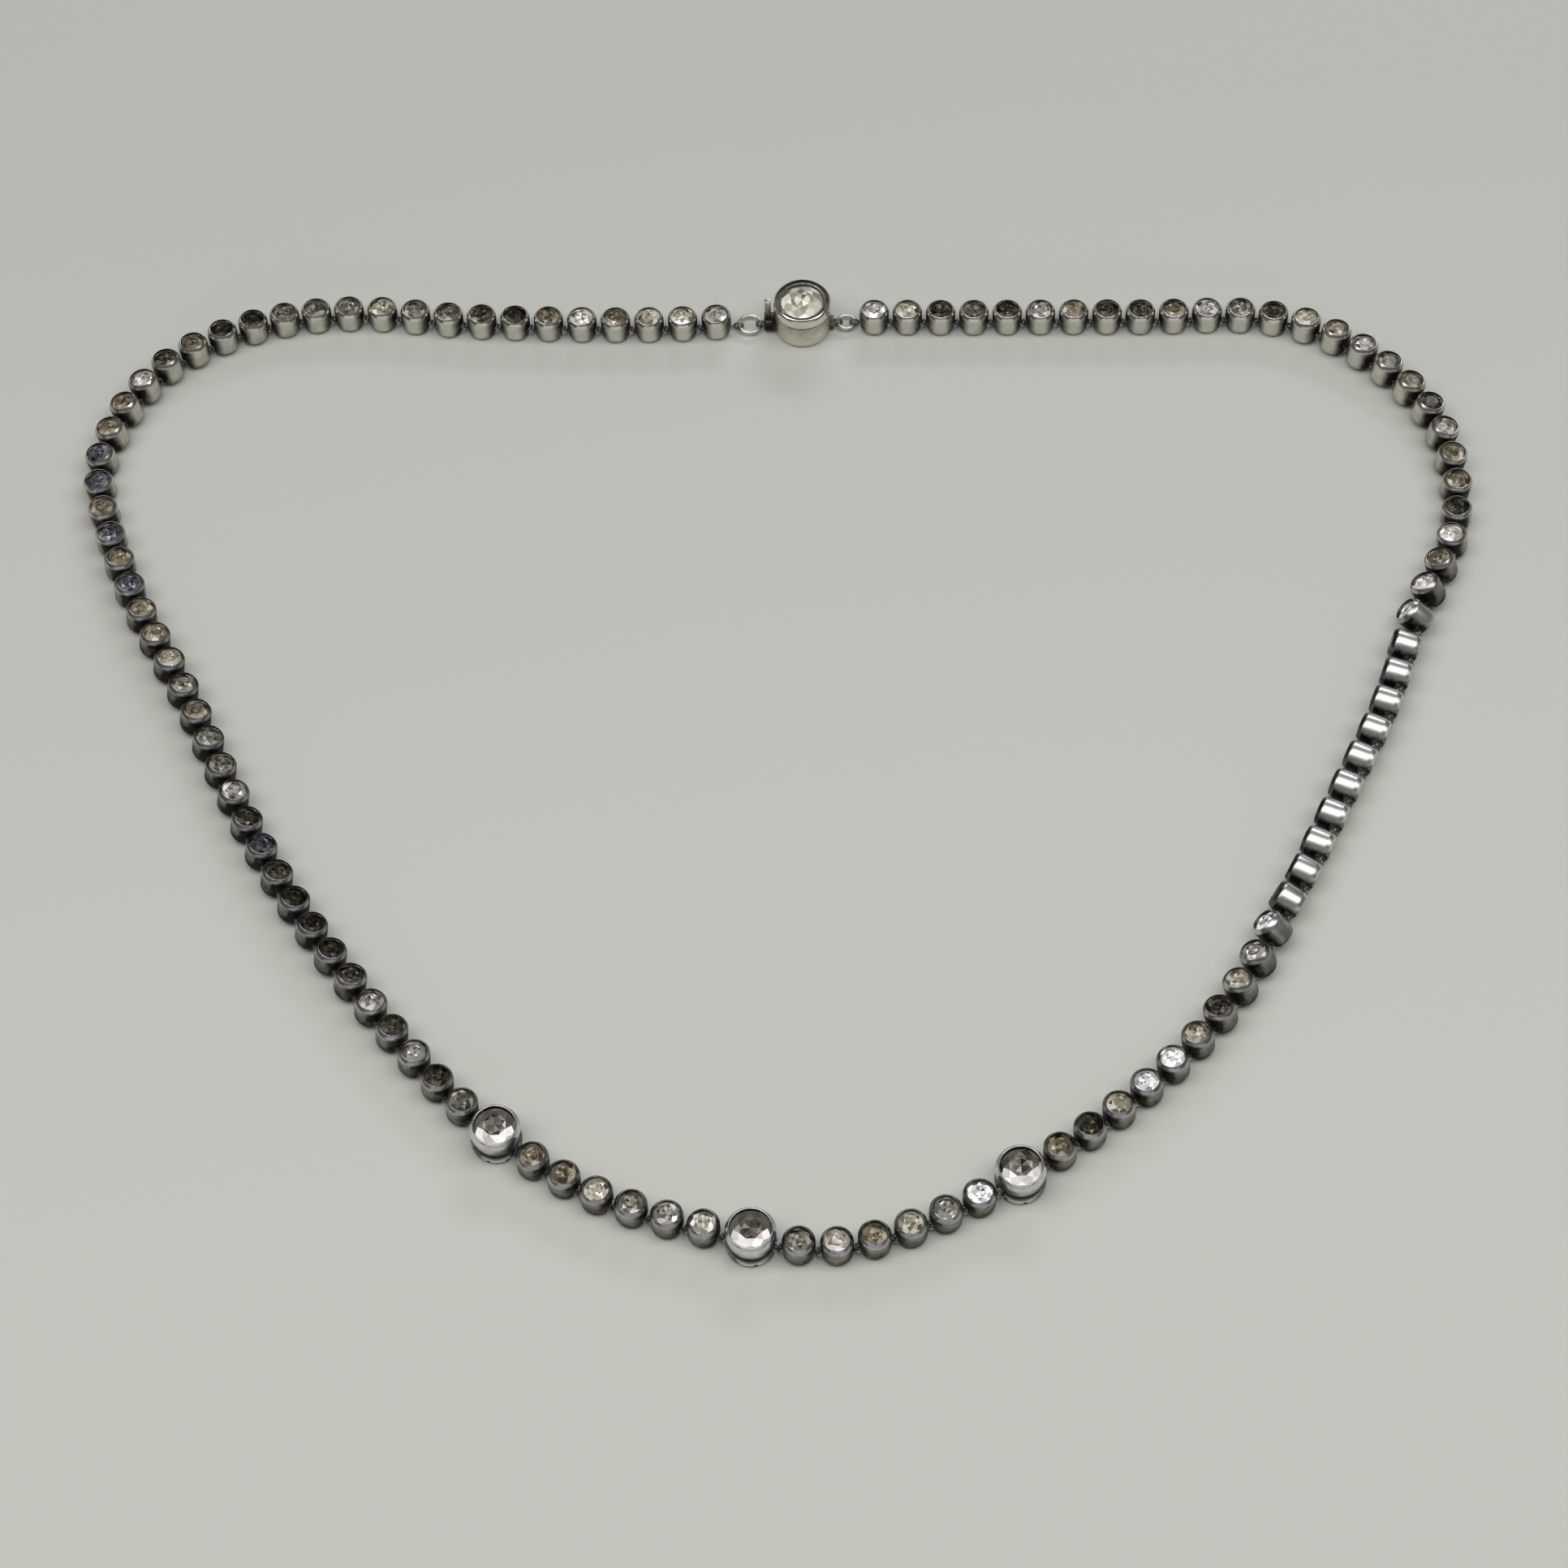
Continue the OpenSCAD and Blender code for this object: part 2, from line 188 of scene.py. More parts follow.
def block(low: Sequence[float], high: Sequence[float], edge: float = 0.0) -> BMesh:
    """A bar between two corners.

    Args:
        low: Lowest corner.
        high: Highest corner.
        edge: Width of the rounding of its edges, 0 for sharp ones.

    Returns:
        A new bmesh.
    """
    bm = bmesh.new()
    a, b = Vector(low), Vector(high)
    place = Matrix.Translation((a + b) / 2) @ Matrix.Diagonal((*(b - a), 1))
    bmesh.ops.create_cube(bm, size=1.0, matrix=place)
    if edge:
        bmesh.ops.bevel(bm, geom=bm.edges[:], offset=edge, offset_type="OFFSET", segments=2,
                        profile=0.5, affect="EDGES", material=-1, clamp_overlap=True)
    bmesh.ops.recalc_face_normals(bm, faces=bm.faces)
    return bm


def kept(bm: BMesh, name: str) -> Mesh:
    """Writes a bmesh to a new mesh and frees it.

    Args:
        bm: The bmesh.
        name: Name of the mesh.

    Returns:
        The mesh.
    """
    mesh = bpy.data.meshes.new(name)
    bm.to_mesh(mesh)
    bm.free()
    return mesh


def linked(name: str, data: bpy.types.ID) -> Object:
    """Makes an object and links it to the scene.

    Args:
        name: Name of the object.
        data: Its mesh, light or camera.

    Returns:
        The object.
    """
    obj = bpy.data.objects.new(name, data)
    bpy.context.scene.collection.objects.link(obj)
    return obj


def pierced(body: BMesh, cutters: Iterable[BMesh]) -> BMesh:
    """Cuts closed shapes out of a closed body.

    Args:
        body: The body; it is freed.
        cutters: The shapes to cut away; they are freed.

    Returns:
        A new bmesh of what is left.
    """
    tool = bmesh.new()
    for cutter in cutters:
        mesh = kept(cutter, "cutter")
        tool.from_mesh(mesh)
        bpy.data.meshes.remove(mesh)
    pair = [linked(name, kept(bm, name)) for name, bm in (("blank", body), ("tool", tool))]
    cut = pair[0].modifiers.new("cut", "BOOLEAN")
    cut.operation = "DIFFERENCE"
    cut.solver = "EXACT"
    cut.object = pair[1]
    graph = bpy.context.evaluated_depsgraph_get()
    result = bpy.data.meshes.new_from_object(pair[0].evaluated_get(graph))
    left = bmesh.new()
    left.from_mesh(result)
    spent = [result, *(obj.data for obj in pair)]
    for obj in pair:
        bpy.data.objects.remove(obj)
    for mesh in spent:
        bpy.data.meshes.remove(mesh)
    bmesh.ops.remove_doubles(left, verts=left.verts, dist=1e-5)
    return left


# Finishes


class Slot(Enum):
    """Material slots of the part."""

    SILVER = "silver"
    PASTE = "paste"
    CLEAR = "clear_paste"


class Nodes:
    """A short way to lay out a material's nodes."""

    def __init__(self, name: str) -> None:
        """Starts a material that holds its Object coordinates alone.

        Args:
            name: Name of the material.
        """
        self.material = bpy.data.materials.new(name)
        self.material.use_nodes = True
        self.tree = self.material.node_tree
        self.tree.nodes.clear()
        self.place = self.add("TexCoord").outputs["Object"]

    def add(self, kind: str, feeds: dict[int | str, object] | None = None,
            **values: object) -> bpy.types.Node:
        """Adds a node.

        Args:
            kind: Name of the node's type, without its prefix.
            feeds: Sockets or plain values, by the name or number of the input.
            **values: Properties of the node, or inputs by name with _ for each space.

        Returns:
            The new node.
        """
        node = self.tree.nodes.new("ShaderNode" + kind)
        for key, value in values.items():
            if hasattr(node, key):
                setattr(node, key, value)
            else:
                node.inputs[key.replace("_", " ")].default_value = value
        for title, value in (feeds or {}).items():
            if isinstance(value, Socket):
                self.tree.links.new(value, node.inputs[title])
            else:
                node.inputs[title].default_value = value
        return node

    def math(self, operation: str, a: Socket | float, b: Socket | float) -> Socket:
        """Works out a sum, a product and the like of two values."""
        return self.add("Math", {0: a, 1: b}, operation=operation).outputs[0]

    def mix(self, share: Socket, a: Socket | Colour, b: Socket | Colour, blend: str = "MIX") -> Socket:
        """Mixes two colours by the share of b."""
        return self.add("Mix", {0: share, 6: a, 7: b}, data_type="RGBA", blend_type=blend).outputs[2]

    def noise(self, **values: float) -> Socket:
        """Adds cloudy noise in Object coordinates, with its scale in clouds to the metre."""
        return self.add("TexNoise", {"Vector": self.place}, **values).outputs["Fac"]

    def ramp(self, value: Socket, low: float, high: float, top: float = 1.0) -> Socket:
        """Maps a value to the range from 0, at low, to top, at high."""
        feeds = {"Value": value, "From Min": low, "From Max": high, "To Max": top}
        return self.add("MapRange", feeds).outputs[0]

    def finish(self, shader: bpy.types.Node) -> Material:
        """Joins a shader to the output and returns the material."""
        self.add("OutputMaterial", {"Surface": shader.outputs[0]})
        return self.material


@dataclass(frozen=True)
class OldSilver:
    """Silver with a satin wall, polished rims and one dark colour for tarnish and painted shade."""

    name: str = "old_silver"
    dull: Colour = (0.66, 0.65, 0.58, 1)
    bright: Colour = (0.86, 0.86, 0.85, 1)
    warm: Colour = (0.78, 0.73, 0.60, 1)
    # Dark colour of tarnish and of painted shade.
    tarnish_and_shade_colour: Colour = (0.022, 0.019, 0.016, 1)
    satin: float = 0.34
    polished: float = 0.14

    def material(self) -> Material:
        """Makes the material, which reads tarnish with painted shade, polish and tone from the
        wear_and_shade attribute.

        Returns:
            The material.
        """
        n = Nodes(self.name)
        # The attribute read here holds tarnish together with painted shade in its first channel, then
        # polish and tone.
        wear_and_shade = n.add("Attribute", attribute_name="wear_and_shade").outputs["Color"]
        tarnish_and_shade, polish, tone = n.add("SeparateColor", {"Color": wear_and_shade}).outputs[:3]
        cloud = n.noise(Scale=900.0, Detail=4.0, Roughness=0.6)
        grain = n.noise(Scale=5200.0, Detail=3.0, Roughness=0.65)
        spots = n.add("TexVoronoi", {"Vector": n.place}, Scale=2600.0).outputs["Distance"]
        patch = n.math("MULTIPLY", n.math("SUBTRACT", cloud, 0.5), 0.6)
        film_and_shade = n.ramp(n.math("ADD", tarnish_and_shade, patch), low=0.12, high=0.92)
        pits = n.ramp(spots, low=0.16, high=0.05, top=0.45)
        dark = n.math("MAXIMUM", film_and_shade, pits)
        metal = n.mix(tone, n.mix(polish, self.dull, self.bright), self.warm)
        colour = n.mix(dark, metal, self.tarnish_and_shade_colour)
        gloss = n.math("MULTIPLY", polish, self.satin - self.polished)
        rough = n.math("SUBTRACT", self.satin, gloss)
        rough = n.math("ADD", rough, n.math("MULTIPLY", dark, 0.2))
        rough = n.math("ADD", rough, n.math("MULTIPLY", patch, 0.12))
        bump = n.add("Bump", {"Height": grain}, Strength=0.16, Distance=0.00003)
        shader = n.add("BsdfPrincipled", {"Base Color": colour, "Roughness": rough,
                                          "Normal": bump.outputs[0]}, Metallic=1.0)
        return n.finish(shader)


@dataclass(frozen=True)
class Paste:
    """Foiled paste: a clear skin over facets that throw the light back, each its own way."""

    name: str
    sheen: float = 0.28
    cloudy: Colour = (0.55, 0.50, 0.41, 1)

    def material(self) -> Material:
        """Makes the material, which reads the tint and optic attributes of each facet; the tint holds
        painted highlights too.

        Returns:
            The material.
        """
        n = Nodes(self.name)
        tint = n.add("Attribute", attribute_name="tint").outputs["Color"]
        optic = n.add("Attribute", attribute_name="optic").outputs["Vector"]
        cloud = n.noise(Scale=1400.0, Detail=3.0, Roughness=0.6)
        worn = n.ramp(cloud, low=0.35, high=0.75, top=0.35)
        colour = n.mix(worn, tint, self.cloudy, "MULTIPLY")
        foil = n.add("VectorTransform", {"Vector": optic}, vector_type="NORMAL",
                     convert_from="OBJECT", convert_to="WORLD")
        shader = n.add("BsdfPrincipled", {"Base Color": colour, "Normal": foil.outputs[0]},
                       Metallic=1.0, Roughness=self.sheen, Coat_Weight=0.25, Coat_Roughness=0.03,
                       Coat_IOR=1.5)
        return n.finish(shader)


@dataclass(frozen=True)
class Surface:
    """The pale surface that the necklace lies on, with painted shade that darkens it a little toward
    the back.
    """

    colour: Colour = (0.675, 0.682, 0.612, 1)
    cloud: Colour = (0.64, 0.647, 0.57, 1)
    far_shade: Colour = (0.86, 0.86, 0.87, 1)
    size: float = 4.0

    def build(self) -> None:
        n = Nodes("pale_surface")
        share = n.math("MULTIPLY", n.noise(Scale=9.0, Detail=2.0, Roughness=0.5), 0.12)
        y = n.add("SeparateXYZ", {"Vector": n.place}).outputs["Y"]
        away = n.ramp(y, low=-0.07, high=0.09)
        # Painted shade: the surface darkens toward the back.
        colour = n.mix(away, n.mix(share, self.colour, self.cloud), self.far_shade, "MULTIPLY")
        bm = bmesh.new()
        bmesh.ops.create_grid(bm, x_segments=1, y_segments=1, size=self.size / 2)
        mesh = kept(bm, "surface")
        mesh.materials.append(n.finish(n.add("BsdfPrincipled", {"Base Color": colour},
                                             Roughness=0.75, Specular_IOR_Level=0.3)))
        obj = linked("surface", mesh)


# Pieces


class Piece:
    """A mesh that grows by placed copies and becomes one object of the visual model."""

    def __init__(self, name: str, node: str, slot: Slot, finish: Material) -> None:
        """Starts an empty piece.

        Args:
            name: Name of the piece.
            node: CAD node that it stands for.
            slot: Material slot of the part; not used.
            finish: Its material.
        """
        self.name, self.node, self.slot, self.finish = name, node, slot, finish
        self.bm = bmesh.new()
        # Per vertex: tarnish with painted shade, polish and tone.
        self.bm.verts.layers.float_color.new("wear_and_shade")
        self.bm.faces.layers.float_color.new("tint")
        self.bm.faces.layers.float_vector.new("optic")

    def take(self, mesh: Mesh) -> tuple[list, list]:
        """Adds a mesh as it is.

        Args:
            mesh: The mesh.

        Returns:
            Its new vertices and faces.
        """
        verts, faces = len(self.bm.verts), len(self.bm.faces)
        self.bm.from_mesh(mesh)
        self.bm.verts.ensure_lookup_table()
        self.bm.faces.ensure_lookup_table()
        return self.bm.verts[verts:], self.bm.faces[faces:]

    def put(self, verts: list, place: Matrix) -> None:
        """Moves vertices from a shape's own frame, in millimetres, to the shared one."""
        bmesh.ops.transform(self.bm, matrix=Matrix.Scale(MM, 4) @ place, verts=verts)

    def metal(self, mesh: Mesh, place: Matrix, wear_and_shade: WearAndShade, tone: float,
              rim_tone: float | None = None) -> None:
        """Adds a metal shape.

        Args:
            mesh: The shape in its own frame, in millimetres.
            place: Where it goes, in millimetres.
            wear_and_shade: Tarnish with painted shade, and polish, at a point of the shape.
            tone: Warmth of the metal, from 0 to 1.
            rim_tone: Warmth where it is fully polished; that of the rest if left out.
        """
        verts, faces = self.take(mesh)
        layer = self.bm.verts.layers.float_color["wear_and_shade"]
        gain = 0.0 if rim_tone is None else rim_tone - tone
        for v in verts:
            tarnish_and_shade, polish = wear_and_shade(v.co)
            v[layer] = (tarnish_and_shade, polish, tone + gain * polish, 1.0)
        for f in faces:
            f.smooth = True
        self.put(verts, place)

    def facets(self, mesh: Mesh, place: Matrix,
               look: Callable[[bmesh.types.BMFace], tuple[Vector, Vector]]) -> None:
        """Adds a stone.

        Args:
            mesh: The stone in its own frame, in millimetres.
            place: Where it goes, in millimetres.
            look: Normal of the foil behind a facet, and the facet's colour with its painted highlight.
        """
        verts, faces = self.take(mesh)
        optic = self.bm.faces.layers.float_vector["optic"]
        tint = self.bm.faces.layers.float_color["tint"]
        for f in faces:
            f[optic], colour = look(f)
            f[tint] = (*(min(1.0, share) for share in colour), 1.0)
            f.smooth = False
        self.put(verts, place)

    def object(self, crease: float = 32.0) -> None:
        """Makes the object, which rides on the root and replaces its CAD node.

        Args:
            crease: Angle in degrees over which an edge is drawn sharp.
        """
        mesh = kept(self.bm, self.name)
        mesh.set_sharp_from_angle(angle=math.radians(crease))
        mesh.materials.append(self.finish)
        obj = linked(self.name, mesh)
        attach(obj, "root")
        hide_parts(self.node)
        LOG.info("%s: %d faces", self.name, len(mesh.polygons))


# Cut stones


class Tint(Enum):
    """Kinds of paste: letter in the chart, usual colour, and how much the facets differ."""

    WHITE = ("w", (0.300, 0.292, 0.285), 0.50)
    CREAM = ("e", (0.215, 0.197, 0.156), 0.50)
    CLEAR = ("c", (0.126, 0.120, 0.106), 0.62)
    CHAMPAGNE = ("b", (0.164, 0.149, 0.106), 0.50)
    BROWN = ("m", (0.068, 0.057, 0.039), 0.58)
    GREY = ("g", (0.054, 0.051, 0.040), 0.65)
    BLUISH = ("l", (0.027, 0.026, 0.031), 0.70)
    SMOKY = ("d", (0.016, 0.0145, 0.010), 0.85)
    DARK = ("k", (0.007, 0.006, 0.004), 0.85)
    OLIVE = ("o", (0.070, 0.065, 0.055), 0.60)
    WARM = ("x", (0.180, 0.172, 0.140), 0.28)

    def __init__(self, letter: str, colour: Sequence[float], spread: float) -> None:
        """Names the parts of the value."""
        self.letter, self.colour, self.spread = letter, Vector(colour), spread

    @classmethod
    def of(cls, letter: str) -> "Tint":
        """The kind that a chart's letter stands for."""
        return next(kind for kind in cls if kind.letter == letter)


class Ring(IntEnum):
    """Rings of facets, from the middle of the table to the pavilion."""

    HEART = 0
    TABLE = 1
    STAR = 2
    KITE = 3
    BELOW = 4


@dataclass(frozen=True)
class Fire:
    """How stones of one kind throw the light back: small ones each by a side of their own.

    The spreads are those of a stone's tone, of the side that shines in radians, and of the
    crown's facets as a share of the tint's. The crescent is the logarithm of the gain of the
    painted highlight on the shining side, over a range of directions. Glints are directions in
    degrees of painted highlights.
    """

    shade_spread: float = 0.18
    aim_spread: float = 0.8
    crown_spread: float = 1.0
    fan: float = 0.12
    whitening: float = 0.8
    crescent: float = 0.7
    ends: Pair = (0.0, 0.9)
    dimming: float = 0.175
    squared: bool = False
    glints: tuple[float, ...] = ()


@dataclass(frozen=True)
class Sparkle:
    """How one stone throws the light back: its tint, its tone and the side that shines."""

    fire: Fire
    tint: Tint
    shade: float
    aim: float
    upward: float = 0.7
    tilt: float = 0.08

    @classmethod
    def drawn(cls, fire: Fire, tint: Tint, rng: random.Random) -> "Sparkle":
        """Draws a stone's tone and the side that shines, by the habit of its kind."""
        shade = math.exp(rng.gauss(0.0, fire.shade_spread))
        return cls(fire, tint, shade, -math.pi / 2 + rng.gauss(0.0, fire.aim_spread))

    def glow(self, ring: Ring, out: Vector) -> float:
        """Extra brightness painted into a facet's colour: a painted highlight on the side that shines
        or at the glints.

        Args:
            ring: Ring of the facet.
            out: Its outward direction, level in the shared frame; zero in the table.

        Returns:
            The natural logarithm of the factor.
        """
        fire = self.fire
        if fire.glints:
            if ring <= Ring.TABLE:
                return 0.6 if ring is Ring.HEART else -0.35
            around = math.degrees(math.atan2(out.y, out.x))
            near = min(abs((around - spot + 180) % 360 - 180) for spot in fire.glints)
            return 0.7 * smooth(30.0, 12.0, near) - 0.2
        if ring <= Ring.TABLE:
            return 0.0
        side = out.x * math.cos(self.aim) + out.y * math.sin(self.aim)
        return fire.crescent * smooth(*fire.ends, side) - fire.dimming

    def facet(self, ring: Ring, normal: Vector, axis: Vector, lean: float,
              rng: random.Random) -> tuple[Vector, Vector]:
        """Look of a facet.

        Args:
            ring: Ring of the facet.
            normal: Its own normal in the shared frame.
            axis: The stone's axis in the shared frame.
            lean: How far the foil leans to the front.
            rng: Source of the differences between facets.

        Returns:
            The normal of the foil that is seen through it, and its colour.
        """
        fire, paste = self.fire, self.tint
        if ring is Ring.BELOW:
            return normal, paste.colour * 0.4
        crown = ring > Ring.TABLE
        out = (normal - axis * normal.dot(axis)).normalized() if crown else Vector()
        spread = fire.crown_spread * paste.spread if crown else paste.spread
        tone = rng.gauss(0.0, spread) + self.glow(ring, out)
        tilt = Vector((rng.gauss(0, self.tilt), rng.gauss(-lean, self.tilt), 0.0))
        foil = axis.lerp(Vector((0, 0, 1)), self.upward) + fire.fan * out + tilt
        colour = paste.colour * (self.shade * math.exp(tone))
        # Painted highlight: bright facets are turned toward white.
        white = Vector((1.0, 0.98, 1.02)) * colour.y
        share = fire.whitening * smooth(0.12, 0.38, colour.y)
        return foil.normalized(), colour.lerp(white, share)


@dataclass(frozen=True)
class CutStone:
    """Round cut stone with its widest line at z = 0.

    The foil's lean to the front is that at the middle of the loop, and grows by lean_gain for
    each millimetre toward the back.
    """

    d: float
    crown_h: float
    pavilion_h: float
    fire: Fire = Fire()
    table: float = 0.55
    folds: int = 8
    lean: float = 0.31
    lean_gain: float = 0.0015

    @property
    def table_r(self) -> float:
        """Radius of the table."""
        return self.d / 2 * self.table

    def seat(self, rim: float) -> Matrix:
        """Place in a setting with its rim at a height; the table lies a little under it."""
        return move(0, 0, rim - self.crown_h - SINK)

    def mesh(self) -> Mesh:
        """Makes the stone: table with its inner star, star, kite and girdle facets.

        Returns:
            The mesh.
        """
        r, t, h = self.d / 2, self.table_r, self.crown_h
        crown = [(t, h, 0.0), ((r + t) / 2, 0.55 * h, 0.5)]
        girdle = [(r, 0.0, 0.0), (r, 0.0, 0.5)]
        bm = bmesh.new()
        for corners in (crown, girdle):
            for k in range(self.folds):
                for radius, z, half in corners:
                    a = math.tau * (k + half) / self.folds
                    bm.verts.new((radius * math.cos(a), radius * math.sin(a), z))
        bm.verts.new((0, 0, -self.pavilion_h))
        bmesh.ops.convex_hull(bm, input=bm.verts)
        bmesh.ops.dissolve_limit(bm, angle_limit=math.radians(0.5), verts=bm.verts,
                                 edges=bm.edges)
        bm.faces.ensure_lookup_table()
        top = max(bm.faces, key=lambda f: f.calc_center_median().z)
        bmesh.ops.inset_region(bm, faces=[top], thickness=0.3 * t, depth=0.0,
                               use_even_offset=True)
        inner = [v for v in bm.verts if abs(v.co.z - h) < 1e-5 and v.co.xy.length < 0.9 * t]
        half_fold = Matrix.Rotation(math.tau / (2 * self.folds), 3, "Z")
        bmesh.ops.rotate(bm, verts=inner, cent=(0, 0, 0), matrix=half_fold)
        bmesh.ops.poke(bm, faces=[f for f in bm.faces if all(v in inner for v in f.verts)])
        bmesh.ops.triangulate(bm, faces=[f for f in bm.faces if len(f.verts) > 3])
        bmesh.ops.recalc_face_normals(bm, faces=bm.faces)
        return kept(bm, "cut_stone")

    def ring_of(self, c: Vector) -> Ring:
        """Ring of a facet.

        Args:
            c: Middle of the facet.

        Returns:
            The ring.
        """
        if c.z > self.crown_h - 1e-4:
            return Ring.HEART if c.xy.length < 0.45 * self.table_r else Ring.TABLE
        if c.z < -1e-4:
            return Ring.BELOW
        return Ring.STAR if c.z > 0.6 * self.crown_h else Ring.KITE

    def dress(self, piece: Piece, mesh: Mesh, place: Matrix, tint: Tint,
              rng: random.Random) -> None:
        """Adds the stone to a piece, with its own colour and facet directions.

        Args:
            piece: The piece that it goes to.
            mesh: The stone's mesh.
            place: Where it goes, in millimetres.
            tint: Its kind.
            rng: Source of its small differences.
        """
        turn = rng.uniform(0, math.tau / self.folds)
        if self.fire.squared:
            turn = math.atan2(-place.col[1].y, -place.col[0].y) - math.tau / (2 * self.folds)
        whole = place @ Matrix.Rotation(turn, 4, "Z")
        spin = whole.to_3x3()
        axis = spin @ Vector((0, 0, 1))
        sparkle = Sparkle.drawn(self.fire, tint, rng)
        lean = self.lean + self.lean_gain * place.translation.y
        looks: dict[tuple[Ring, int], tuple[Vector, Vector]] = {}

        def look(f: bmesh.types.BMFace) -> tuple[Vector, Vector]:
            """Draws a facet's look once for all its triangles.

            Args:
                f: One of the triangles.

            Returns:
                The normal of its foil and its colour.
            """
            c, parts = f.calc_center_median(), 2 * self.folds
            key = (self.ring_of(c), round(math.atan2(c.y, c.x) / math.tau * parts) % parts)
            if key not in looks:
                looks[key] = sparkle.facet(key[0], spin @ f.normal, axis, lean, rng)
            return looks[key]

        piece.facets(mesh, whole, look)


# Settings


@dataclass(frozen=True)
class Lie:
    """How a setting lies: the front in its own frame, its painted shade, and how far it lies over."""

    front: Vector
    painted_shade: float
    over: float

    @classmethod
    def of(cls, place: Matrix) -> "Lie":
        """Reads it from a place; the front and the left of the loop get the most painted shade.

        Args:
            place: Place of the setting.

        Returns:
            How it lies.
        """
        over = smooth(0.85, 0.4, place.col[2].z)
        x, y = place.translation.xy
        # Painted shade, strongest at the front and the left of the loop.
        painted_shade = 0.05 + 0.47 * smooth(52.0, 5.0, y) + 0.12 * smooth(-40.0, -60.0, x)
        return cls(Vector((-place.col[0].y, -place.col[1].y)), painted_shade * (1 - over), over)

    def facing(self, p: Vector) -> float:
        """How far the wall at a point of a setting faces the front, from -1 to 1."""
        return p.xy.dot(self.front) / max(p.xy.length, 0.01)

    def flank(self, p: Vector, low: float, high: float) -> float:
        """Tarnish and painted shade of a wall toward its neighbours, darker on the side that faces the
        front.

        Args:
            p: Point of the wall in the setting's frame.
            low: Share of x in the wall's direction where the tarnish starts.
            high: Share where it is full.

        Returns:
            Tarnish with painted shade, from 0 to 1.
        """
        share = p.x / max(p.xy.length, 0.01)
        ahead = self.front.x * math.copysign(1.0, share)
        return smooth(low, high, abs(share)) * (0.9 + (0.1 if ahead > 0 else 0.5) * ahead)


@dataclass(frozen=True)
class Cup:
    """A setting: what both kinds have. Its core is how far out the flats for its eyes are."""

    d: float
    h: float
    mouth_d: float
    stone: CutStone
    foot: float
    core: float
    steps: int
    pocket_w: float = 1.4
    pocket_h: float = 1.3

    def pockets(self) -> list[BMesh]:
        """Makes cutters for the pockets where its eyes start, ahead and behind."""
        w, low = self.pocket_w / 2, -1.0
        return [block((self.core, -w, low), (self.d, w, self.pocket_h)),
                block((-self.d, -w, low), (-self.core, w, self.pocket_h))]


@dataclass(frozen=True)
class SmallCup(Cup):
    """Closed cup of a small stone: rounded foot, plain wall and a sloping rubbed-over rim."""

    d: float = 3.36
    h: float = 3.1
    mouth_d: float = 2.62
    stone: CutStone = CutStone(2.74, 0.4, 1.12)
    foot: float = 0.6
    core: float = 1.25
    steps: int = 32

    def mesh(self) -> Mesh:
        """Makes the cup in its own frame.

        Returns:
            The mesh.
        """
        r, h, mouth, seat = self.d / 2, self.h, self.mouth_d / 2, self.stone.d / 2 + SEAT_GAP
        outline = [(0, 0), *foot_line(r, self.foot), (r, h - 0.45), (r - 0.32, h),
                   (mouth, h - 0.02), (mouth, h - 0.24), (seat, h - 0.34), (seat, h - 0.47),
                   (0, h - 1.67)]
        outline = eased(outline, {3: 0.12, 4: 0.14, 5: 0.03}, 1)
        return turned(outline, self.steps, self.pockets())

    def wear_and_shade(self, p: Vector, lie: Lie) -> Pair:
        """Tarnish, painted shade and polish of the cup: painted shade toward its neighbours, at its
        foot and at the back of the rim, which leaves the rim's front bright.

        Args:
            p: Point of the cup.
            lie: How the cup lies.

        Returns:
            Tarnish with painted shade, and polish, from 0 to 1.
        """
        if p.xy.length < self.mouth_d / 2 + 0.17 and 0.1 < p.z < self.h - 0.06:
            return 0.5, 0.3
        # Tarnish and painted shade toward the neighbours.
        side = lie.flank(p, 0.15 + 0.35 * lie.over, 0.8 + 0.15 * lie.over)
        rim = smooth(self.h - 0.5, self.h - 0.4, p.z)
        # Painted shade at the back of the rim, heavier at the front and the left of the loop.
        back = smooth(0.6, -0.1, lie.facing(p))
        edge = max(0.1 + 0.75 * lie.painted_shade + 0.35 * back, 0.85 * lie.over)
        # Painted contact shade, darker toward the foot.
        wall = lie.painted_shade + (0.2 * (1 - lie.over) + lie.painted_shade) * smooth(1.2, 0.1, p.z)
        polish = max(0.8 * rim, 0.12 * lie.over)
        return max(edge * rim, 0.95 * side * (1 - 0.5 * rim), wall * (1 - rim)), polish


